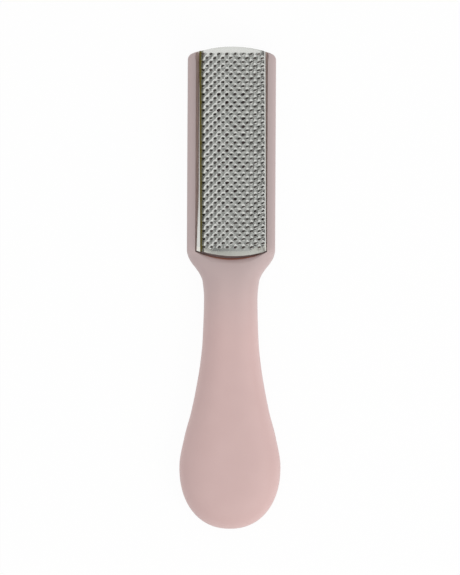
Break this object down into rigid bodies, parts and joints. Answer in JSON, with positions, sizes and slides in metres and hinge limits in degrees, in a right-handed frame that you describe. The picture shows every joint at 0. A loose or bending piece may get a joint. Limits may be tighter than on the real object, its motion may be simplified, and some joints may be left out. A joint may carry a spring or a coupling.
{
  "type": "callus remover",
  "caption": "Paddle-shaped foot file with a moulded two-shell handle and an arched punched-steel rasp plate that slides out of its head to empty the dust pocket.",
  "frame": {"origin": "on the flat back, at the middle of the tool's length and width", "axes": "+Z out of the rasp, away from the flat back; +Y from the handle to the head, along the tool; +X across it"},
  "size_m": [0.0378, 0.18, 0.0129],
  "materials": {
    "front_shell": "satin moulded dusty pink",
    "back_cover": "satin moulded dusty pink",
    "rasp": "punched sheet, nickel plated"
  },
  "bodies": {
    "handle": {"handle_front_shell": "front_shell", "handle_back_cover": "back_cover"},
    "plate": {"rasp_plate": "rasp"}
  },
  "joints": [
    {"name": "plate_slide", "type": "slide", "parent": "handle", "child": "plate", "axis": [0, 1, 0], "range_m": [0, 0.071]}
  ]
}
